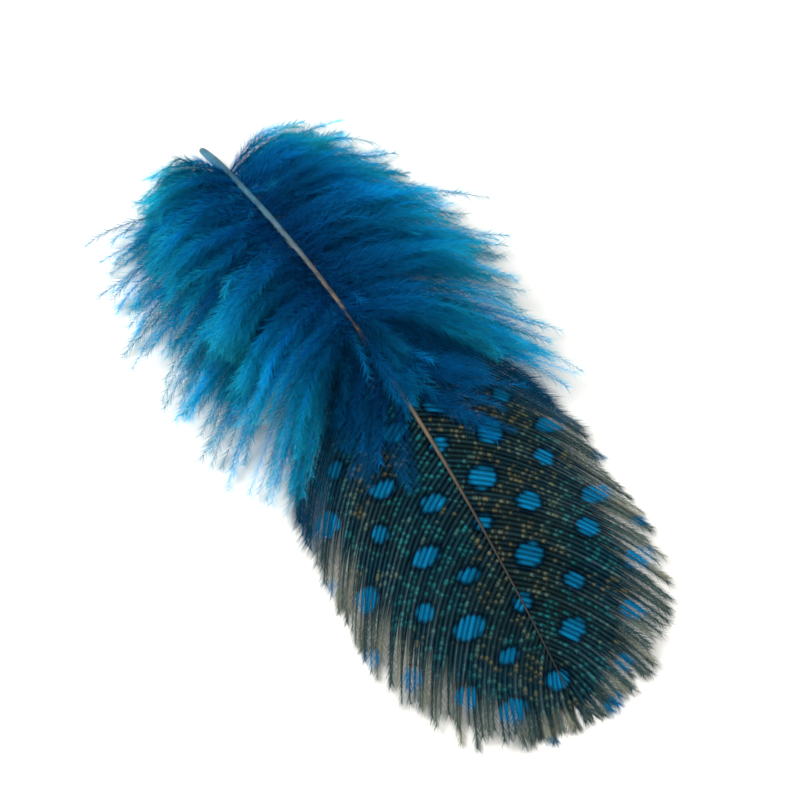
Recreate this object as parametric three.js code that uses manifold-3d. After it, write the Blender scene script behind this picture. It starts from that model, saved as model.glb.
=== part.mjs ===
// One guinea fowl body feather, dyed blue, lying on a flat surface with its glossy, domed side up.
// A feather grows as a single piece: a bare quill, a thin shaft that carries on from it, soft locks of down along
// the shaft's lower half, and a closed vane of barbs on either side of its upper half.
// Units are millimetres. +Z is up, the quill points along +Y and the tip of the vane along -Y.
// The origin is on the surface that the feather lies on, below the middle of its box.
import * as THREE from "three";
import { mergeVertices } from "three/addons/utils/BufferGeometryUtils.js";
import Module from "manifold-3d";

// Driving dimensions. A station is a distance along the feather from the cut end of the quill.
const featherLength = 79.5;
const quillY = 39.7;
const middleX = 0.1;

// The shaft arches over the surface and bends a little to one side.
const shaftLength = 75;
const quillRadius = 0.55;
const shaftTipRadius = 0.28;
const quillEndNarrowing = 0.55;
const quillEndShare = 0.06;
const archHeight = 5;
const archFront = 0.85;
const tipSink = 0.45;
const sidewaysBend = 6.7;
const straightShare = 0.4;
const shaftSides = 8;
const shaftSteps = 22;

// The vane. Each barb turns from its root towards the tip of the feather.
const vaneStart = 31;
const vaneHalfWidth = 15.5;
const vaneWidestStation = 61.5;
const vaneLowerLength = 24;
const lowestBarbTurn = -45;
const outerFullness = 0.85;
const lowerFullness = 0.3;
const barbKneeAcross = 0.66;
const barbKneeAlong = 0.32;
const vaneOverlap = 0.5;
const vaneRootThickness = 0.8;
const vaneEdgeThickness = 0.5;
const vaneEdgeHeight = 0.12;
const vaneRows = 34;
const vaneColumns = 5;
const toothDepth = 0.06;
const splitDepth = 0.13;
const leftSplits = [7, 16, 24];
const rightSplits = [4, 13, 21, 28];

// The down. Angles are measured from the direction of the tip, in degrees, and rises from the shaft's height.
const downStart = 5;
const downEnd = 32.5;
const firstLockAngle = 108;
const lastLockAngle = 50;
const lockAngleSpread = 9;
const lockLengthSpread = 0.08;
const firstLockShare = 0.5;
const fullLockShare = 0.5;
const lockRiseSpread = 0.25;
const lockCurl = 0.16;
const lockKnee = 0.55;
const lockKneeLowest = 0.4;
const lockTipLowest = 0.6;
const lockTipRadius = 0.15;
const lockWidening = 1.25;
const lockFlattening = 0.85;
const lockSides = 5;
const lockSteps = 5;
const middleLocks = { count: 12, rise: 1.2, drop: 4.4, length: 19, thickness: 1.9 };
const upperLocks = { count: 8, rise: 5.2, drop: 4, length: 16, thickness: 2.2 };
const lowerLocks = { count: 6, rise: -5.5, drop: 0, length: 16.5, thickness: 2.3 };

const wasm = await Module();
wasm.setup();

const radians = THREE.MathUtils.degToRad;
const mix = THREE.MathUtils.lerp;

// A repeatable scatter around zero, from -1 to 1, for each seed.
function scatter(seed) {
  const n = Math.sin(seed * 12.9898 + 4.1414) * 43758.5453;
  return 2 * (n - Math.floor(n)) - 1;
}

// The middle line of the shaft.
function shaftPoint(station) {
  const share = Math.min(station / featherLength, 1);
  const sideways = middleX - sidewaysBend * (share - straightShare) ** 2;
  const arch = archHeight * Math.sin(Math.PI * share ** archFront);
  return new THREE.Vector3(sideways, quillY - station, quillRadius - tipSink * share + arch);
}

// A place on the vane's domed sheet, from its distance to the side of the shaft and its station.
function sheetPoint(side, across, station) {
  const place = shaftPoint(station);
  place.x += side * across;
  place.z = mix(place.z, vaneEdgeHeight, (across / vaneHalfWidth) ** 2);
  return place;
}

// Turns a three.js geometry into a solid after moving each vertex, with its faces turned outwards.
function bentSolid(geometry, move) {
  geometry.deleteAttribute("normal");
  geometry.deleteAttribute("uv");
  const merged = mergeVertices(geometry);
  const places = merged.attributes.position;
  const corners = new Uint32Array(merged.index.array);
  const vertices = new Float32Array(places.count * 3);
  for (let i = 0; i < places.count; i++) {
    move(places.getX(i), places.getY(i), places.getZ(i)).toArray(vertices, i * 3);
  }
  const corner = (i) => new THREE.Vector3().fromArray(vertices, corners[i] * 3);
  let volume = 0;
  for (let i = 0; i < corners.length; i += 3) {
    volume += corner(i).dot(corner(i + 1).cross(corner(i + 2)));
  }
  if (volume < 0) {
    corners.reverse();
  }
  return new wasm.Manifold(new wasm.Mesh({ numProp: 3, vertProperties: vertices, triVerts: corners }));
}

// A rod along a curve. middle(t) gives its middle line, and radii(t) its half width and half height.
function taperedRod(middle, radii, sides, steps) {
  const rod = new THREE.CylinderGeometry(1, 1, 1, sides, steps);
  const up = new THREE.Vector3(0, 0, 1);
  const nearby = 0.01;
  return bentSolid(rod, (x, y, z) => {
    const t = y + 0.5;
    const before = middle(Math.max(t - nearby, 0));
    const forwards = middle(Math.min(t + nearby, 1)).sub(before).normalize();
    const right = new THREE.Vector3().crossVectors(forwards, up).normalize();
    const above = new THREE.Vector3().crossVectors(right, forwards);
    const [halfWidth, halfHeight] = radii(t);
    return middle(t).addScaledVector(right, x * halfWidth).addScaledVector(above, z * halfHeight);
  });
}

// The quill and shaft: blunt at the cut end, fullest where the down starts, and finest at the tip.
function shaft() {
  const radius = (t) => {
    const swell = Math.sqrt(Math.min(t / quillEndShare, 1));
    return mix(quillRadius, shaftTipRadius, t) * mix(quillEndNarrowing, 1, swell);
  };
  return taperedRod(
    (t) => shaftPoint(t * shaftLength),
    (t) => [radius(t), radius(t)],
    shaftSides,
    shaftSteps,
  );
}

// One barb of the vane, as a curve from its root on the shaft to its end on the vane's outline. share runs from
// 0 at the lowest barb to 1 at the tip of the vane, and t from the shaft to the outline.
function barbPlace(share, t) {
  const turn = radians(mix(lowestBarbTurn, 90, share));
  const [fullness, length] =
    turn < 0 ? [lowerFullness, vaneLowerLength] : [outerFullness, featherLength - vaneWidestStation];
  const reach = vaneHalfWidth * Math.max(Math.cos(turn), 0) ** fullness;
  const end = vaneWidestStation + length * Math.sin(turn);
  const root = mix(vaneStart, shaftLength, share);
  const bend = 2 * t * (1 - t);
  const across = bend * barbKneeAcross * reach + t * t * reach;
  const station = (1 - t) ** 2 * root + bend * mix(root, end, barbKneeAlong) + t * t * end;
  return [across, station];
}

// One side of the vane: a thin domed sheet whose outer edge is toothed, with a few deeper splits between barbs.
// It reaches a little over the shaft's middle line, so that the two sides join.
function vane(side, splits) {
  const sheet = new THREE.BoxGeometry(1, 1, 1, vaneColumns, vaneRows, 1);
  return bentSolid(sheet, (x, y, z) => {
    const row = Math.round((y + 0.5) * vaneRows);
    const reach = 1 - toothDepth * (row % 2) - splitDepth * splits.includes(row);
    const t = (x + 0.5) * reach;
    const [across, station] = barbPlace(row / vaneRows, t);
    const place = sheetPoint(side, across, station);
    place.x -= side * vaneOverlap;
    place.z += z * mix(vaneRootThickness, vaneEdgeThickness, t);
    return place;
  });
}

// One soft lock of down. It leaves the shaft at a station, rises or sinks to its knee, curls towards the tip of
// the feather and ends in a point.
function lock({ side, station, angle, length, rise, drop, thickness }) {
  const root = shaftPoint(station);
  const heading = new THREE.Vector3(side * Math.sin(radians(angle)), -Math.cos(radians(angle)), 0);
  const knee = root.clone().addScaledVector(heading, lockKnee * length);
  const end = root.clone().addScaledVector(heading, length);
  knee.z = Math.max(root.z + rise, lockKneeLowest);
  end.y -= lockCurl * length;
  end.z = Math.max(knee.z - drop, lockTipLowest);
  const curve = new THREE.QuadraticBezierCurve3(root, knee, end);
  const fullness = (t) => Math.sin(Math.PI * mix(0.25, 0.95, t));
  return taperedRod(
    (t) => curve.getPoint(t),
    (t) => {
      const radius = Math.max(thickness * fullness(t) * (1 - t ** 3), lockTipRadius);
      return [radius * lockWidening, radius * lockFlattening];
    },
    lockSides,
    lockSteps,
  );
}

// One layer of locks on one side. Along the shaft the locks turn towards the tip of the feather, and they are
// short next to the quill and soon reach their full length.
function lockLayer(side, layer, firstSeed) {
  return Array.from({ length: layer.count }, (_, i) => {
    const seed = firstSeed + 10 * i;
    const share = (i + 0.5 + 0.15 * scatter(seed)) / layer.count;
    const growth = Math.sin((Math.PI / 2) * Math.min(share / fullLockShare, 1));
    return lock({
      side,
      station: mix(downStart, downEnd, share),
      angle: mix(firstLockAngle, lastLockAngle, share) + lockAngleSpread * scatter(seed + 1),
      length: layer.length * mix(firstLockShare, 1, growth) * (1 + lockLengthSpread * scatter(seed + 2)),
      rise: layer.rise * (1 + lockRiseSpread * scatter(seed + 3)),
      drop: layer.drop,
      thickness: layer.thickness,
    });
  });
}

// The down on one side: locks that lie out flat, locks that stand up over the shaft, and locks below it that
// press on the surface.
function down(side) {
  const layers = [middleLocks, upperLocks, lowerLocks];
  return layers.flatMap((layer, level) => lockLayer(side, layer, 200 * level + 5 * side));
}

// The whole feather as one closed body, cut off flat where the down and the vane's edges press on the surface.
// Only its outer surface is kept, so the small gaps that the locks shut in between them are filled.
function feather() {
  const pieces = [shaft(), vane(-1, leftSplits), vane(1, rightSplits), ...down(-1), ...down(1)];
  const whole = pieces.reduce((joined, piece) => joined.add(piece));
  const ground = new THREE.BoxGeometry(2 * featherLength, 2 * featherLength, featherLength);
  ground.translate(0, 0, -featherLength / 2);
  const below = bentSolid(ground, (x, y, z) => new THREE.Vector3(x, y, z));
  const bodies = whole.subtract(below).decompose();
  return bodies.reduce((outer, body) => (body.volume() > outer.volume() ? body : outer));
}

const dyedFeather = new THREE.MeshStandardMaterial({ color: 0x0f4a66, roughness: 0.6, metalness: 0 });

function meshOf(solid, name, material) {
  const { vertProperties, triVerts } = solid.getMesh();
  const geometry = new THREE.BufferGeometry();
  geometry.setAttribute("position", new THREE.BufferAttribute(vertProperties, 3));
  geometry.setIndex(new THREE.BufferAttribute(triVerts, 1));
  geometry.computeVertexNormals();
  const mesh = new THREE.Mesh(geometry, material);
  mesh.name = name;
  return mesh;
}

const part = new THREE.Group();
part.add(meshOf(feather(), "feather", dyedFeather));

export default part;
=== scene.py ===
"""One guinea fowl body feather, dyed blue, lying on a white table with its domed, spotted side up.

Sizes are in metres, written as millimetres times mm. A station is a distance along the feather from the
cut end of the quill, and a share runs from 0 to 1 along whatever it measures.
"""

import math

import bpy
import numpy as np
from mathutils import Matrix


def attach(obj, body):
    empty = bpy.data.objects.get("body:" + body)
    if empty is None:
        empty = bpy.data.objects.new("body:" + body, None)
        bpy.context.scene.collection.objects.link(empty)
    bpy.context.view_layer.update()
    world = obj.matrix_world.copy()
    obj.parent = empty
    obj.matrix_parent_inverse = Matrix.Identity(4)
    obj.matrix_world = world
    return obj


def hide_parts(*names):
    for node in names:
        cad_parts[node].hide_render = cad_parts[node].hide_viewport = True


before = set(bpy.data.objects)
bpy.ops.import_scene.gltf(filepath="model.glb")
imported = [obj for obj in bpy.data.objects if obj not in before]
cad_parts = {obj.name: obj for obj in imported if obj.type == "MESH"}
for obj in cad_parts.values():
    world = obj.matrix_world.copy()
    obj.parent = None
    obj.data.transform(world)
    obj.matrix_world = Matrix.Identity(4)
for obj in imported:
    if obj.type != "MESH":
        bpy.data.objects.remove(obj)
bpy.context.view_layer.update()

mm = 0.001

# The camera and the light. The feather is photographed from above and in front, with its shaft running from
# the upper left to the lower right, under a wide soft light on a white table that is nearly burnt out.
camera_azimuth = math.radians(-30)
camera_elevation = math.radians(55)
camera_distance = 0.268
camera_target = (0.6 * mm, -0.5 * mm, 2 * mm)
camera_lens = 120
camera_nearest = 0.01
table_side = 4
table_colour = (0.95, 0.94, 0.905, 1)
table_roughness = 0.7
sky_colour = (1, 0.99, 0.97, 1)
sky_strength = 0.7

level = math.cos(camera_elevation)
outwards = (
    math.sin(camera_azimuth) * level,
    -math.cos(camera_azimuth) * level,
    math.sin(camera_elevation),
)
camera = bpy.data.objects.new("camera", bpy.data.cameras.new("camera"))
camera.data.lens = camera_lens
camera.data.clip_start = camera_nearest
camera.location = [at + camera_distance * way for at, way in zip(camera_target, outwards)]
camera.rotation_euler = (math.pi / 2 - camera_elevation, 0, camera_azimuth)
bpy.context.collection.objects.link(camera)
bpy.context.scene.camera = camera


def soft_light(name, power, size, place, turn):
    """A square lamp of that size, standing at a place and turned by three angles in degrees."""
    lamp = bpy.data.objects.new(name, bpy.data.lights.new(name, "AREA"))
    lamp.data.energy = power
    lamp.data.size = size
    lamp.location = place
    lamp.rotation_euler = [math.radians(angle) for angle in turn]
    bpy.context.collection.objects.link(lamp)


soft_light("window", power=4.6, size=0.4, place=(-0.35, 0.3, 0.55), turn=(-28, -32, 0))
soft_light("front", power=0.7, size=0.5, place=(0.3, -0.5, 0.4), turn=(52, 0, 30))

sky = bpy.data.worlds.new("sky")
sky.use_nodes = True
sky.node_tree.nodes["Background"].inputs["Color"].default_value = sky_colour
sky.node_tree.nodes["Background"].inputs["Strength"].default_value = sky_strength
bpy.context.scene.world = sky
bpy.context.scene.view_settings.view_transform = "Standard"

half_side = table_side / 2
table_corners = [(-half_side, -half_side, 0), (half_side, -half_side, 0)]
table_corners += [(half_side, half_side, 0), (-half_side, half_side, 0)]
table_mesh = bpy.data.meshes.new("table")
table_mesh.from_pydata(table_corners, [], [(0, 1, 2, 3)])
table = bpy.data.objects.new("table", table_mesh)
bpy.context.collection.objects.link(table)
table_finish = bpy.data.materials.new("table")
table_finish.use_nodes = True
table_shader = table_finish.node_tree.nodes["Principled BSDF"]
table_shader.inputs["Base Color"].default_value = table_colour
table_shader.inputs["Roughness"].default_value = table_roughness
table_mesh.materials.append(table_finish)

# The quill and shaft: one horny rod, hollow at its cut end, grown with everything that it carries. It is
# pale and takes the dye as a thin blue tint, and turns tan and then dark brown towards the tip of the vane.
feather_length = 79.5 * mm
quill_y = 39.7 * mm
middle_x = 0.1 * mm
shaft_length = 76.5 * mm
quill_radius = 0.55 * mm
shaft_tip_radius = 0.05 * mm
shaft_taper = 0.8
quill_end_narrowing = 0.55
quill_end_share = 0.05
quill_pit_depth = 1.2 * mm
quill_pit_share = 0.55
arch_height = 5 * mm
arch_front = 0.85
tip_sink = 0.45 * mm
sideways_bend = 6.7 * mm
straight_share = 0.4
shaft_lift = 0.1 * mm
shaft_lift_shares = (0.4, 0.5)
shaft_sides = 16
shaft_steps = 160
pit_steps = 5
nearly_nothing = 1e-9
map_side = 84 * mm

quill_blue = (0.04, 0.15, 0.22, 1)
shaft_tan = (0.15, 0.115, 0.075, 1)
shaft_brown = (0.022, 0.02, 0.018, 1)
tan_shares = (0.12, 0.42)
brown_shares = (0.5, 0.8)
streak_scale = 900
streak_shades = (0.75, 1.15)


def unit(arrows):
    """Each arrow divided by its own length."""
    return arrows / np.maximum(np.linalg.norm(arrows, axis=-1, keepdims=True), nearly_nothing)


def eased(low, high, values):
    """0 below low, 1 above high, and three times the square less twice the cube of the share between."""
    part = np.clip((values - low) / (high - low), 0, 1)
    return part * part * (3 - 2 * part)


def shaft_points(station):
    """The shaft's middle line.

    It goes sideways by the square of the share past the straight part, and up by half a wave of a sine.
    """
    part = np.minimum(station / feather_length, 1)
    sideways = middle_x - sideways_bend * (part - straight_share) ** 2
    up = quill_radius - tip_sink * part + arch_height * np.sin(np.pi * part**arch_front)
    return np.stack([sideways, quill_y - station, up], axis=-1)


def rods(paths, across, above, section):
    """Closed rods along many paths at once, as corners and faces.

    A ring stands at each step of a path: the path's point, plus each section point's first number times the
    across arrow, plus its second number times the above arrow. Quads join the rings, and a fan of triangles
    between a ring's first corner and its others closes each end.
    """
    count, steps = paths.shape[:2]
    sides = len(section)
    corners = (
        paths[:, :, None]
        + section[None, None, :, :1] * across[:, :, None]
        + section[None, None, :, 1:] * above[:, :, None]
    )
    ring = np.arange(count * steps * sides).reshape(count, steps, sides)
    turned = np.roll(ring, -1, axis=2)
    quads = np.stack([ring[:, :-1], turned[:, :-1], turned[:, 1:], ring[:, 1:]], axis=-1)
    first, last = ring[:, 0], ring[:, -1]
    near = [first[:, [0, i + 1, i]] for i in range(1, sides - 1)]
    far = [last[:, [0, i, i + 1]] for i in range(1, sides - 1)]
    return corners.reshape(-1, 3), quads.reshape(-1, 4), np.concatenate(near + far)


def new_piece(name, corners, quads, triangles, facts, finish):
    """A smooth mesh object that rides on the frame in the part's place, with a number per corner and fact.

    Its map is the plan of the feather: the place across and along the table, over the side of a square.
    """
    mesh = bpy.data.meshes.new(name)
    mesh.from_pydata(corners, [], quads.tolist() + triangles.tolist())
    mesh.polygons.foreach_set("use_smooth", np.ones(len(mesh.polygons), bool))
    for fact, values in facts.items():
        mesh.attributes.new(fact, "FLOAT", "POINT").data.foreach_set("value", values.ravel())
    loops = np.empty(len(mesh.loops), np.int32)
    mesh.loops.foreach_get("vertex_index", loops)
    plan = corners[loops, :2] / map_side + 0.5
    mesh.uv_layers.new(name="OFBake").data.foreach_set("uv", plan.ravel())
    mesh.materials.append(finish)
    mesh.update()
    piece = bpy.data.objects.new(name, mesh)
    bpy.context.collection.objects.link(piece)
    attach(piece, "root")
    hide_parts("feather")


class Finish:
    """A material whose nodes are added one at a time. Each call returns the new node's wanted output."""

    def __init__(self, name, roughness, gloss, seen_through=0.0):
        self.material = bpy.data.materials.new(name)
        self.material.use_nodes = True
        self.nodes = self.material.node_tree.nodes
        self.links = self.material.node_tree.links
        self.shader = self.nodes["Principled BSDF"]
        self.shader.inputs["Roughness"].default_value = roughness
        self.shader.inputs["Specular IOR Level"].default_value = gloss
        self.seen_through = seen_through

    def add(self, kind, wanted, inputs, **settings):
        """A node of any kind. An input is linked where it is another node's output, and set where not."""
        node = self.nodes.new("ShaderNode" + kind)
        for setting, value in settings.items():
            setattr(node, setting, value)
        for socket, value in inputs.items():
            if isinstance(value, bpy.types.NodeSocket):
                self.links.new(value, node.inputs[socket])
            else:
                node.inputs[socket].default_value = value
        return node.outputs[wanted]

    def fact(self, name):
        """The number that the mesh keeps for each corner under that name."""
        return self.add("Attribute", "Fac", {}, attribute_name=name)

    def ramp(self, value, low, high, start=0.0, end=1.0):
        """An eased step from start, where the value is low, to end, where it is high."""
        sizes = {"From Min": low, "From Max": high, "To Min": start, "To Max": end}
        return self.add("MapRange", "Result", {"Value": value, **sizes}, interpolation_type="SMOOTHSTEP")

    def calculate(self, operation, first, second):
        """Two numbers added, multiplied or divided."""
        return self.add("Math", "Value", {0: first, 1: second}, operation=operation)

    def blend(self, amount, first, second, way="MIX"):
        """The first colour with that amount of the second. Sockets 6, 7 and 2 are the node's colours."""
        colours = {"Factor": amount, 6: first, 7: second}
        return self.add("Mix", 2, colours, data_type="RGBA", blend_type=way)

    def shade(self, colour, strength):
        """The colour times a strength."""
        return self.blend(1.0, colour, strength, "MULTIPLY")

    def noise(self, scale, detail=2.0):
        """Soft cloudy noise from 0 to 1, with that many clouds a metre."""
        place = self.add("TexCoord", "Object", {})
        return self.add("TexNoise", "Fac", {"Vector": place, "Scale": scale, "Detail": detail})

    def done(self, colour):
        """The material with its colour linked, and with its share of light let through from behind."""
        self.links.new(colour, self.shader.inputs["Base Color"])
        if self.seen_through > 0:
            through = self.add("BsdfTranslucent", "BSDF", {"Color": colour})
            both = {0: self.seen_through, 1: self.shader.outputs["BSDF"], 2: through}
            mixed = self.add("MixShader", "Shader", both)
            self.links.new(mixed, self.nodes["Material Output"].inputs["Surface"])
        return self.material


horn = Finish("horn", roughness=0.45, gloss=0.3)
share_along = horn.fact("along")
lower = horn.blend(horn.ramp(share_along, *tan_shares), quill_blue, shaft_tan)
whole = horn.blend(horn.ramp(share_along, *brown_shares), lower, shaft_brown)
streaks = horn.ramp(horn.noise(streak_scale), 0.3, 0.75, *streak_shades)
horn_finish = horn.done(horn.shade(whole, streaks))

# The rod's line starts at the bottom of the pit in the quill, comes out to the cut end and runs to the tip.
pit_share = np.linspace(quill_pit_depth / shaft_length, 0, pit_steps)
shaft_share = np.concatenate([pit_share, np.linspace(0, 1, shaft_steps)])
shaft_line = shaft_points(shaft_share * shaft_length)
shaft_way = unit(shaft_points(shaft_share * shaft_length + mm) - shaft_line)
shaft_line[:, 2] += shaft_lift * eased(*shaft_lift_shares, shaft_share)
shaft_right = unit(np.cross(shaft_way, (0, 0, 1)))
shaft_above = np.cross(shaft_right, shaft_way)
swell = np.sqrt(np.minimum(shaft_share / quill_end_share, 1))
shaft_radius = quill_radius + (shaft_tip_radius - quill_radius) * shaft_share**shaft_taper
shaft_radius *= quill_end_narrowing + (1 - quill_end_narrowing) * swell
shaft_radius[:pit_steps] = shaft_radius[pit_steps] * quill_pit_share
circle = np.linspace(0, 2 * np.pi, shaft_sides, endpoint=False)
shaft_parts = rods(
    shaft_line[None],
    (shaft_right * shaft_radius[:, None])[None],
    (shaft_above * shaft_radius[:, None])[None],
    np.stack([np.cos(circle), np.sin(circle)], axis=-1),
)
new_piece("shaft", *shaft_parts, {"along": np.repeat(shaft_share, shaft_sides)}, horn_finish)

# The vane: on either side of the shaft, some seventy barbs that sweep towards the tip, each a thin ridge with
# a web of barbules that hook onto the next barb. Near the edge the hooks let go and the barbs end as free
# hairs. The feather was dyed whole: its spots are now blue, its speckles teal or tan, its ground near black.
barb_count = 68
barb_steps = 50
vane_start = 31 * mm
vane_root_end = 75 * mm
vane_half_width = 15.5 * mm
vane_widest = 61.5 * mm
vane_lower_length = 24 * mm
lowest_barb_turn = math.radians(-45)
outer_fullness = 0.85
lower_fullness = 0.3
barb_knee_across = 0.66
barb_knee_along = 0.32
vane_edge_height = 0.12 * mm
barb_length_spread = (-0.07, 0.05)
web_cover = 1.1
web_narrowing = 0.86
ridge_height = 0.055 * mm
ridge_taper = 0.6
hair_width = 0.045 * mm
table_clearance = 0.02 * mm

# Barbs cling together in clumps towards the edge, single ones stray, and the whole sheet is a little wavy.
clump_sizes = (3, 9)
clump_pull = 0.11
clump_pull_spread = (0.3, 1.3)
stray_spread = 0.35
edge_lift = (-0.15 * mm, 0.6 * mm)
wave_height = 0.22 * mm
wave_radians_along_vane = 21
wave_radians_along_barb = 5

# The lowest barbs are loose up to the loose share, and every barb lays its web bare beyond the bare share.
loose_share = 0.26
loose_narrowing = 0.7
bare_share = 0.66
bare_end_share = 1.0

barbules_per_edge = 165
barbule_width = 0.05 * mm
barbule_overlap = 0.1 * mm
barbule_cover = 0.95
barbule_lean = math.radians(40)
barbule_lean_spread = 0.12
barbule_length_spread = (0.7, 1.15)
loose_barbule = 1.1 * mm
edge_barbule = 1.05 * mm
edge_shortening = 0.45
loose_lean = 0.25
edge_lean = 0.32
hooked_roll = 0.06
loose_roll = 0.6
edge_roll = 0.5
vane_crowding = 0.66
vane_tip_ahead = 0.06
barbule_root_height = 0.3
# Painted light: the web fact paints a highlight on the ridge and shade at the web's edge; barbule_shade is
# the barbules' value and web_shade_by_ridge the web's value by its ridge.
barbule_shade = 0.25
web_shade_by_ridge = 0.3

spot_radius = 1.06 * mm
spot_row_gap = 4.4 * mm
spot_gap = 6.2 * mm
spot_scatter = 0.5 * mm
spot_row_rise = 0.1
spot_size_spread = 0.24
spot_stretch = 0.92
spot_stretch_spread = 0.18
spot_shift_in_mm = 0.05
spot_rows = range(-1, 14)
spot_columns = range(-4, 5)
right_side_number = 97.0

halo_black = (0.0003, 0.013, 0.03, 1)
ground_teal = (0.0006, 0.043, 0.08, 1)
ground_olive = (0.0125, 0.037, 0.044, 1)
spot_blue = (0.002, 0.225, 0.46, 1)
speckle_teal = (0.012, 0.17, 0.19, 1)
speckle_tan = (0.15, 0.15, 0.085, 1)
edge_grey = (0.07, 0.14, 0.135, 1)
# Painted highlight: cream mixed into the fringe's grey and into lines on the ridges, for light that the hairs
# catch and let through.
edge_painted_highlight = (0.36, 0.36, 0.27, 1)
loose_blue = (0.002, 0.13, 0.28, 1)
under_grey = (0.085, 0.15, 0.17, 1)
speckle_gap_in_mm = 0.5
speckle_disorder = 0.9
spot_edge_noise_scale = 1500
ground_noise_scale = 130
speckle_noise_scale = 170


def barb_place(share, t):
    """Where a barb of the vane is: its distance to the side of the shaft, and its station.

    The barb is a curve with one knee. Its root's station goes evenly up the shaft with its share. Its end is
    on the outline: the half width times a power of the cosine of its turn, and the sine of the turn times the
    length of the vane's upper or lower part.
    """
    turn = lowest_barb_turn + (math.pi / 2 - lowest_barb_turn) * share
    fullness = np.where(turn < 0, lower_fullness, outer_fullness)
    length = np.where(turn < 0, vane_lower_length, feather_length - vane_widest)
    across_end = vane_half_width * np.maximum(np.cos(turn), 0) ** fullness
    end = vane_widest + length * np.sin(turn)
    root = vane_start + (vane_root_end - vane_start) * share
    bend = 2 * t * (1 - t)
    across = bend * barb_knee_across * across_end + t * t * across_end
    knee = root + (end - root) * barb_knee_along
    return across, (1 - t) ** 2 * root + bend * knee + t * t * end


def on_vane(side, across, station):
    """A place on the vane's dome, which sinks to the edge by the square of the distance from the shaft."""
    place = shaft_points(station)
    place[..., 0] += side * across
    drop = (across / vane_half_width) ** 2
    place[..., 2] += (vane_edge_height - place[..., 2]) * drop
    return place


def spot_edge_distance(across, station):
    """How far a place on the vane is from the edge of the nearest spot, and below 0 inside it.

    The spots stand in rows across the vane, and every other row is moved by half the gap between two spots,
    so that one row has a spot on the shaft and the next has one on either side of it. A sine of each spot's
    own seed moves it, another sizes it, and another stretches it across or along the feather.
    """
    nearest = np.full(across.shape, np.inf)
    for row in spot_rows:
        for column in spot_columns:
            seed = 7 * row + 31 * column
            start = (column + 0.5 * (row % 2)) * spot_gap
            sideways = start + spot_scatter * math.sin(seed * 2.3)
            along = vane_start + row * spot_row_gap + abs(start) * spot_row_rise
            along += spot_scatter * math.sin(seed * 1.7)
            size = spot_radius * (1 + spot_size_spread * math.sin(seed * 3.1))
            longer = spot_stretch + spot_stretch_spread * math.sin(seed * 0.9)
            gap = np.hypot((across - sideways) * longer, (station - along) / longer)
            nearest = np.minimum(nearest, gap - size)
    return nearest


def sampled(grid, step):
    """Values of a grid of barbs by steps, read at fractional steps by a straight line between neighbours."""
    low = np.minimum(step.astype(int), grid.shape[1] - 2)
    rest = (step - low).reshape(step.shape + (1,) * (grid.ndim - 2))
    barb = np.arange(len(grid))[:, None]
    return grid[barb, low] * (1 - rest) + grid[barb, low + 1] * rest


def barbules(luck, barbs, facts, edge, count, width, crowding, ahead):
    """Closed needles with four faces along one edge of every barb, and their facts.

    The needles' shares along the barb are even ones with some luck, to the power crowding, which below 1
    brings them closer together towards the barb's end. A needle's way is the sine of its lean times out, plus
    the cosine times the barb's way. Out is aside of the barb, turned about it by the roll times a normal
    number. Its foot is three corners on a small circle, and its tip one corner at its way times its length.
    Its tip's share along the barb is ahead of its foot's.
    """
    barb_total, steps = barbs["paths"].shape[:2]
    even = np.arange(count) + luck.uniform(0.1, 0.9, (barb_total, count))
    step = (even / count) ** crowding * (steps - 1)
    at = {key: sampled(grid, step) for key, grid in barbs.items()}
    lean = (at["lean"] + luck.normal(0, barbule_lean_spread, step.shape))[..., None]
    roll = (at["roll"] * luck.normal(0, 1, step.shape))[..., None]
    out = edge * np.cos(roll) * at["aside"] + np.sin(roll) * at["above"]
    way = unit(np.sin(lean) * out + np.cos(lean) * at["way"])
    first = unit(np.cross(way, at["above"]))
    second = np.cross(first, way)
    turns = np.arange(3) * 2 * np.pi / 3
    ring = [at["paths"] + (math.cos(turn) * first + math.sin(turn) * second) * width / 2 for turn in turns]
    length = at["long"] * luck.uniform(*barbule_length_spread, step.shape)
    corners = np.stack(ring + [at["paths"] + way * length[..., None]], axis=-2).reshape(-1, 3)
    corners[:, 2] = np.maximum(corners[:, 2], table_clearance)
    needle = np.arange(0, len(corners), 4)[:, None, None]
    triangles = needle + np.array([(0, 1, 3), (1, 2, 3), (2, 0, 3), (0, 2, 1)])
    read = {key: np.repeat(sampled(grid, step).ravel(), 4) for key, grid in facts.items()}
    read["along"][3::4] += ahead
    return corners, np.empty((0, 4), int), triangles.reshape(-1, 3), read


def grown_together(bodies):
    """Joins bodies, each of them corners, quads, triangles and facts, by counting on their corner numbers."""
    starts = np.cumsum([0] + [len(body[0]) for body in bodies[:-1]])
    corners = np.concatenate([body[0] for body in bodies])
    quads = np.concatenate([body[1] + start for body, start in zip(bodies, starts)])
    triangles = np.concatenate([body[2] + start for body, start in zip(bodies, starts)])
    facts = {key: np.concatenate([body[3][key] for body in bodies]) for key in bodies[0][3]}
    return corners, quads, triangles, facts


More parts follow.
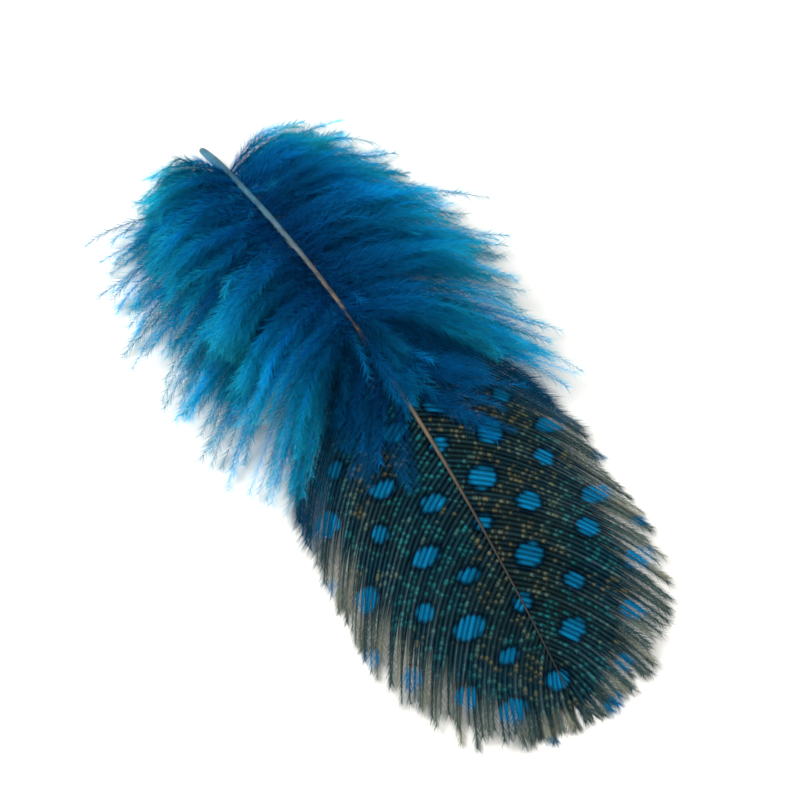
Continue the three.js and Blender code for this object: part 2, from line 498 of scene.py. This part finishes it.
def speckled_ground(paint, spot, along):
    """Teal and olive patches, more olive by the shaft, with a speckle in each cell that isn't near a spot.

    A cell is one barb wide and one speckle gap long. The spot is a distance in millimetres.
    """
    cloud = paint.ramp(paint.noise(ground_noise_scale), 0.35, 0.65, 0, 0.5)
    by_shaft = paint.ramp(along, 0.25, 0.75, 0.5, 0)
    ground = paint.blend(paint.calculate("ADD", cloud, by_shaft), ground_teal, ground_olive)
    column = paint.calculate("ADD", paint.fact("barb"), 0.5)
    row = paint.calculate("DIVIDE", paint.fact("reach"), speckle_gap_in_mm)
    cell = paint.add("CombineXYZ", "Vector", {"X": column, "Y": row})
    cells = {"Vector": cell, "Scale": 1.0, "Randomness": speckle_disorder}
    dots = paint.ramp(paint.add("TexVoronoi", "Distance", cells), 0.46, 0.26)
    dots = paint.calculate("MULTIPLY", dots, paint.ramp(spot, 0.3, 0.62))
    kind = paint.ramp(paint.noise(speckle_noise_scale), 0.45, 0.6)
    return paint.blend(dots, ground, paint.blend(kind, speckle_teal, speckle_tan))


def vane_colour(paint):
    """The marks laid over each other: ground, dark halo, painted highlight lines on the ridges, a grey edge
    with painted cream highlight, spots, and loose blue barbs.

    The web is 0 on a barb's ridge and 1 at the edge of its web, where it lies in the shade of the next barb.
    It paints a highlight on the ridge and painted shade at the web's edge.
    """
    along, tone, web = paint.fact("along"), paint.fact("tone"), paint.fact("web")
    ragged = paint.ramp(paint.noise(spot_edge_noise_scale), 0.3, 0.7, -0.09, 0.09)
    spot = paint.calculate("ADD", paint.fact("spot"), ragged)
    haloed = paint.blend(paint.ramp(spot, 0.55, 0.22), speckled_ground(paint, spot, along), halo_black)
    # The fringe's own grey with painted cream highlight, more of it on some barbs.
    grey_and_painted_highlight = paint.blend(paint.ramp(tone, 0.35, 1.0, 0, 0.8), edge_grey, edge_painted_highlight)
    # Painted highlight: pale lines on the ridges in the outer part of the vane.
    painted_ridge_highlight = paint.calculate("MULTIPLY", paint.ramp(along, 0.2, 0.8), paint.ramp(web, 0.35, 0.1, 0, 0.3))
    lined = paint.blend(painted_ridge_highlight, haloed, grey_and_painted_highlight)
    edged = paint.blend(paint.ramp(along, 0.7, 1.0, 0, 0.95), lined, grey_and_painted_highlight)
    # Painted highlight and painted shade: up to 1.4 times lighter on the ridge, darker towards the web's edge
    # in the next barb's shade.
    painted_ridge_light_and_shade = paint.shade(edged, paint.ramp(web, 0.0, 1.0, 1.4, 0.45))
    # Painted highlight: the spot blue is also painted a little lighter on the ridge than at the web's edge.
    bright = paint.shade(spot_blue, paint.ramp(web, 0.0, 1.0, 1.12, 1.0))
    spotted = paint.blend(paint.ramp(spot, 0.2, -0.3), painted_ridge_light_and_shade, bright)
    loose = paint.blend(paint.ramp(paint.fact("loose"), 0.0, 0.8), spotted, loose_blue)
    turned = paint.blend(paint.ramp(paint.fact("under"), 0.0, 1.0, 0, 0.6), loose, under_grey)
    return paint.shade(turned, paint.ramp(tone, 0.0, 1.0, 0.75, 1.25))


vane_paint = Finish("vane", roughness=0.5, gloss=0.06, seen_through=0.3)
vane_finish = vane_paint.done(vane_colour(vane_paint))


def clump_centres(share, luck):
    """For each barb, the middle share of the clump that it holds together with. Clumps differ in size."""
    sizes = luck.integers(*clump_sizes, size=len(share))
    clump = np.searchsorted(np.cumsum(sizes), np.arange(len(share)), side="right")
    sums = np.bincount(clump, weights=share)
    return (sums / np.maximum(np.bincount(clump), 1))[clump]


def make_vane(name, side, seed):
    """One side of the vane: its barbs as flat ridged rods, and their barbules as needles.

    The tidy barbs give the sheet's upward arrows and the spacing between barbs. The real ones are moved from
    there by their clump and their own straying, and by a sine wave in height over share and t.
    """
    luck = np.random.default_rng(seed)
    share = (np.arange(barb_count) + 0.5) / barb_count
    t = np.linspace(0, 1, barb_steps)
    grid_share, grid_t = np.meshgrid(share, t, indexing="ij")
    tidy = on_vane(side, *barb_place(grid_share, grid_t))
    next_barb = np.gradient(tidy, axis=0)
    tidy_way = unit(np.gradient(tidy, axis=1))
    upwards = unit(np.cross(tidy_way, next_barb))
    upwards *= np.sign(upwards[..., 2:])
    spacing = np.abs(np.sum(next_barb * np.cross(upwards, tidy_way), axis=-1))

    loose = (1 - eased(0, loose_share, grid_share)) * eased(0.1, 0.7, grid_t)
    pull = clump_pull * luck.uniform(*clump_pull_spread, barb_count)
    together = (clump_centres(share, luck) - share) * pull
    stray = luck.normal(0, stray_spread, barb_count) / barb_count
    moved = grid_share + together[:, None] * eased(0.5, 1, grid_t) + stray[:, None] * eased(0.55, 1, grid_t)
    length = 1 + luck.uniform(*barb_length_spread, barb_count)
    across, station = barb_place(np.clip(moved, 0.001, 0.999), grid_t * length[:, None])
    paths = on_vane(side, across, station)
    paths[..., 2] += luck.uniform(*edge_lift, barb_count)[:, None] * eased(0.6, 1, grid_t)
    wave = np.sin(wave_radians_along_vane * grid_share + wave_radians_along_barb * grid_t + seed)
    paths[..., 2] += wave_height * wave * eased(0.1, 0.6, grid_t)
    paths[..., 2] = np.maximum(paths[..., 2], 2 * table_clearance + ridge_height)
    way = unit(np.gradient(paths, axis=1))
    above = unit(upwards - np.sum(upwards * way, axis=-1, keepdims=True) * way)
    aside = np.cross(above, way)

    bare = eased(bare_share, bare_end_share, grid_t)
    cover = spacing * web_cover / 2 * (1 - loose_narrowing * loose)
    web = np.maximum(cover * (1 - web_narrowing * bare), hair_width / 2)
    ridge = ridge_height * (1 - ridge_taper * grid_t)
    # The section goes from one edge of the web up to the ridge, down to the other edge and back below.
    section = np.array([(-1, -0.9), (-0.14, -0.1), (0, 1), (0.14, -0.1), (1, -0.5), (0, -1)])
    ridge_corner, under_corner = 2, 5
    rod_parts = rods(paths, aside * web[..., None], above * ridge[..., None], section)

    nothing = np.zeros_like(grid_t)
    distance = spot_edge_distance(side * across, station) / mm
    stretches = np.linalg.norm(np.diff(paths, axis=1, prepend=paths[:, :1]), axis=-1)
    facts = {
        "spot": distance + luck.normal(0, spot_shift_in_mm, (barb_count, 1)),
        "reach": np.cumsum(stretches, axis=1) / mm,
        "barb": nothing + np.arange(barb_count)[:, None] + right_side_number * (side > 0),
        "tone": nothing + luck.uniform(0, 1, (barb_count, 1)),
        "along": grid_t,
        "loose": loose,
        "web": nothing + barbule_shade,
        "under": nothing,
    }
    rod_facts = {key: np.repeat(grid.ravel(), len(section)) for key, grid in facts.items()}
    # The web fact for painted light: 0 on the ridge corner for a painted highlight, rising to 1 at the web's
    # edge for painted shade.
    web_shade = web_shade_by_ridge + (1 - web_shade_by_ridge) * np.abs(section[:, 0])
    rod_facts["web"] = np.tile(web_shade, grid_t.size)
    rod_facts["web"][ridge_corner :: len(section)] = 0
    rod_facts["under"][under_corner :: len(section)] = 1

    hooked = (barbule_cover * cover + barbule_overlap) / math.sin(barbule_lean)
    free = edge_barbule * bare * (1 - edge_shortening * eased(0.9, 1, grid_t))
    barbs = {
        "paths": paths + above * (barbule_root_height * ridge)[..., None],
        "way": way,
        "aside": aside,
        "above": above,
        "lean": barbule_lean + loose_lean * loose - edge_lean * bare,
        "roll": hooked_roll + loose_roll * loose + edge_roll * eased(bare_share, 1, grid_t),
        "long": hooked + loose_barbule * loose + free,
    }
    size = (barbules_per_edge, barbule_width, vane_crowding, vane_tip_ahead)
    fringes = [barbules(luck, barbs, facts, edge, *size) for edge in (-1, 1)]
    new_piece(name, *grown_together([(*rod_parts, rod_facts)] + fringes), vane_finish)


make_vane("vane_left", side=-1, seed=11)
make_vane("vane_right", side=1, seed=12)

# The down: below the vane the barbs have no hooks. They are soft and bent, and their long barbules stand off
# on all sides, so that they hang together in pointed locks: some lie out flat, some stand over the shaft, and
# some are pressed on the table. The down was white and has taken the most dye.
first_lock_angle = 108
last_lock_angle = 50
lock_angle_spread = 9
lock_place_spread = 0.15
lock_length_spread = 0.08
first_lock_share = 0.5
full_lock_share = 0.5
lock_rise_spread = 0.25
lock_curl = 0.16
lock_knee = 0.55
lock_knee_lowest = 0.4 * mm
lock_tip_lowest = 0.6 * mm
lock_fill = 0.5
down_steps = 15

# Each barb of a lock differs from the lock's own curve by these.
barb_place_spread = 0.45
barb_angle_spread = 7
barb_length_share = 0.93
down_barb_length_spread = 0.12
barb_end_spread = 0.8 * mm
barb_end_lowest = 0.2 * mm
bend_radians = (5, 11)
bend_start_radians = (0, 6)
bend_width = 0.4 * mm

down_barb_radius = 0.045 * mm
down_barb_taper = 0.75
down_barbule_width = 0.05 * mm
down_barbule = 1.9 * mm
down_barbule_lean = 0.62
down_barbule_roll = 0.7
half_wave_start = 0.25
half_wave_share = 0.53
down_crowding = 0.8
down_tip_ahead = 0.42
# Painted light: the locks next to the quill end are painted brighter where the light catches them, as if
# further along their barbs.
painted_rim_light = 0.4
painted_rim_light_end_share = 0.2

# The starts, ends, rises, drops, lengths and thicknesses are in millimetres, and the turn in degrees. The
# first three layers are the feather's locks. The fourth lies along the shaft over their roots, and the fifth
# is the thin veil of down over the foot of the vane.
# Bright scales how far a layer's barbs go into the painted tip light and glow: less for the over layer and
# the veil.
down_layers = {
    "middle": dict(
        start=5, end=32.5, turn=0, count=12, rise=1.2, drop=4.4, length=19, thickness=1.9,
        barbs=14, barbules=88, bright=1, seed=0,
    ),
    "upper": dict(
        start=5, end=32.5, turn=0, count=8, rise=5.2, drop=4, length=16, thickness=2.2,
        barbs=17, barbules=84, bright=1, seed=200,
    ),
    "lower": dict(
        start=5, end=32.5, turn=0, count=6, rise=-5.5, drop=0, length=16.5, thickness=2.3,
        barbs=13, barbules=82, bright=1, seed=400,
    ),
    "over": dict(
        start=9, end=34, turn=-48, count=7, rise=1.8, drop=1.4, length=9.5, thickness=1.8,
        barbs=7, barbules=70, bright=0.62, seed=600,
    ),
    "veil": dict(
        start=25, end=41, turn=-14, count=18, rise=0.5, drop=0.9, length=10.5, thickness=0.7,
        barbs=3, barbules=60, bright=0.4, seed=800,
    ),
}
left_seed = 31
right_seed = 41

# The down from root to tip: the darker root is painted shade inside the locks, and the brighter tip and the
# glow are painted light through the thin ends.
down_deep = (0.001, 0.115, 0.37, 1)
down_bright = (0.002, 0.35, 0.74, 1)
down_tip = (0.006, 0.56, 0.86, 1)
down_painted_glow = (0.04, 0.84, 1.0, 1)
down_patch_scale = 160


def down_colour(paint):
    """Darker at the root of each barb and brighter to its tip, as painted shade inside the locks and painted
    light let through their thin ends, with a painted glow at the tips, and lighter and darker barbs and
    patches.
    """
    along = paint.fact("along")
    rooted = paint.blend(paint.ramp(along, 0.1, 0.75), down_deep, down_bright)
    tipped = paint.blend(paint.ramp(along, 0.6, 0.95), rooted, down_tip)
    with_painted_glow = paint.blend(paint.ramp(along, 0.9, 1.25), tipped, down_painted_glow)
    tone = paint.ramp(paint.fact("tone"), 0.0, 1.0, 0.7, 1.25)
    patch = paint.ramp(paint.noise(down_patch_scale), 0.3, 0.7, 0.8, 1.1)
    return paint.shade(with_painted_glow, paint.calculate("MULTIPLY", tone, patch))


down_paint = Finish("down", roughness=0.6, gloss=0.05, seen_through=0.58)
down_finish = down_paint.done(down_colour(down_paint))


def scatter(seed):
    """A repeatable number from -1 to 1: twice the fraction of a large sine, less 1."""
    wave = np.sin(seed * 12.9898 + 4.1414) * 43758.5453
    return 2 * (wave - np.floor(wave)) - 1


def make_down(name, side, layer, seed):
    """One layer of down on one side. Each lock's barbs start side by side on the shaft.

    A barb is a curve with one knee, which is out along its heading by the knee's share of its length, and up
    by its rise. Its end is out by its whole length, down by its drop and towards the tip of the feather by
    its curl. Barbs are short next to the quill, and their length grows from there as a quarter wave of a
    sine. A sine wave that grows from a barb's root bends it. The barbules' lengths along a barb are a stretch
    of half a wave of a sine, longest near the middle.
    """
    luck = np.random.default_rng(seed)
    lock = np.repeat(np.arange(layer["count"]), layer["barbs"])
    count = len(lock)
    lock_seed = layer["seed"] + 5 * side + 10 * lock
    spread = luck.uniform(-1, 1, (count, 4))
    place = lock + 0.5 + lock_place_spread * scatter(lock_seed) + barb_place_spread * spread[:, 0]
    place /= layer["count"]
    station = (layer["start"] + (layer["end"] - layer["start"]) * place) * mm
    angle = first_lock_angle + (last_lock_angle - first_lock_angle) * place + layer["turn"]
    angle += lock_angle_spread * scatter(lock_seed + 1) + barb_angle_spread * spread[:, 1]
    angle = np.radians(angle)
    growth = np.sin(np.pi / 2 * np.clip(place / full_lock_share, 0, 1))
    length = layer["length"] * mm * (first_lock_share + (1 - first_lock_share) * growth)
    length *= 1 + lock_length_spread * scatter(lock_seed + 2)
    length *= barb_length_share + down_barb_length_spread * spread[:, 2]
    rise = layer["rise"] * mm * (1 + lock_rise_spread * scatter(lock_seed + 3))
    heading = np.stack([side * np.sin(angle), -np.cos(angle), np.zeros(count)], axis=-1)

    root = shaft_points(station)
    knee = root + heading * (lock_knee * length)[:, None]
    knee[:, 2] = np.maximum(root[:, 2] + rise, lock_knee_lowest)
    knee[:, 2] += layer["thickness"] * mm * lock_fill * spread[:, 3]
    end = root + heading * length[:, None]
    end[:, 1] -= lock_curl * length
    end[:, 2] = np.maximum(knee[:, 2] - layer["drop"] * mm, lock_tip_lowest)
    end += luck.normal(0, barb_end_spread, (count, 3))
    end[:, 2] = np.maximum(end[:, 2], barb_end_lowest)

    t = np.linspace(0, 1, down_steps)[None, :, None]
    paths = (1 - t) ** 2 * root[:, None] + 2 * t * (1 - t) * knee[:, None] + t * t * end[:, None]
    bends = luck.uniform(*bend_radians, (count, 1, 1))
    wave = np.sin(t * bends + luck.uniform(*bend_start_radians, (count, 1, 1)))
    paths += wave * t * luck.normal(0, bend_width, (count, 1, 3))
    paths[..., 2] = np.maximum(paths[..., 2], 3 * table_clearance)
    way = unit(np.gradient(paths, axis=1))
    aside = unit(np.cross(way, (0, 0, 1)))
    above = np.cross(aside, way)
    grid_t = np.broadcast_to(t[..., 0], (count, down_steps))
    radius = (down_barb_radius * (1 - down_barb_taper * grid_t))[..., None]
    three = np.arange(3) * 2 * np.pi / 3
    section = np.stack([np.cos(three), np.sin(three)], axis=-1)
    rod_parts = rods(paths, aside * radius, above * radius, section)

    # Painted light on the locks next to the quill end.
    painted_rim_lift = painted_rim_light * (1 - eased(0, painted_rim_light_end_share, place))[:, None]
    facts = {
        "along": grid_t * layer["bright"] + painted_rim_lift,
        "tone": 0 * grid_t + luck.uniform(0, 1, (count, 1)),
    }
    rod_facts = {key: np.repeat(grid.ravel(), len(section)) for key, grid in facts.items()}
    barbs = {
        "paths": paths,
        "way": way,
        "aside": aside,
        "above": above,
        "lean": down_barbule_lean + 0 * grid_t,
        "roll": down_barbule_roll + 0 * grid_t,
        "long": down_barbule * np.sin(np.pi * (half_wave_start + half_wave_share * grid_t)),
    }
    size = (layer["barbules"], down_barbule_width, down_crowding, down_tip_ahead)
    fringes = [barbules(luck, barbs, facts, edge, *size) for edge in (-1, 1)]
    new_piece(name, *grown_together([(*rod_parts, rod_facts)] + fringes), down_finish)


for number, (layer_name, layer) in enumerate(down_layers.items()):
    make_down(f"down_{layer_name}_left", -1, layer, left_seed + number)
    make_down(f"down_{layer_name}_right", 1, layer, right_seed + number)
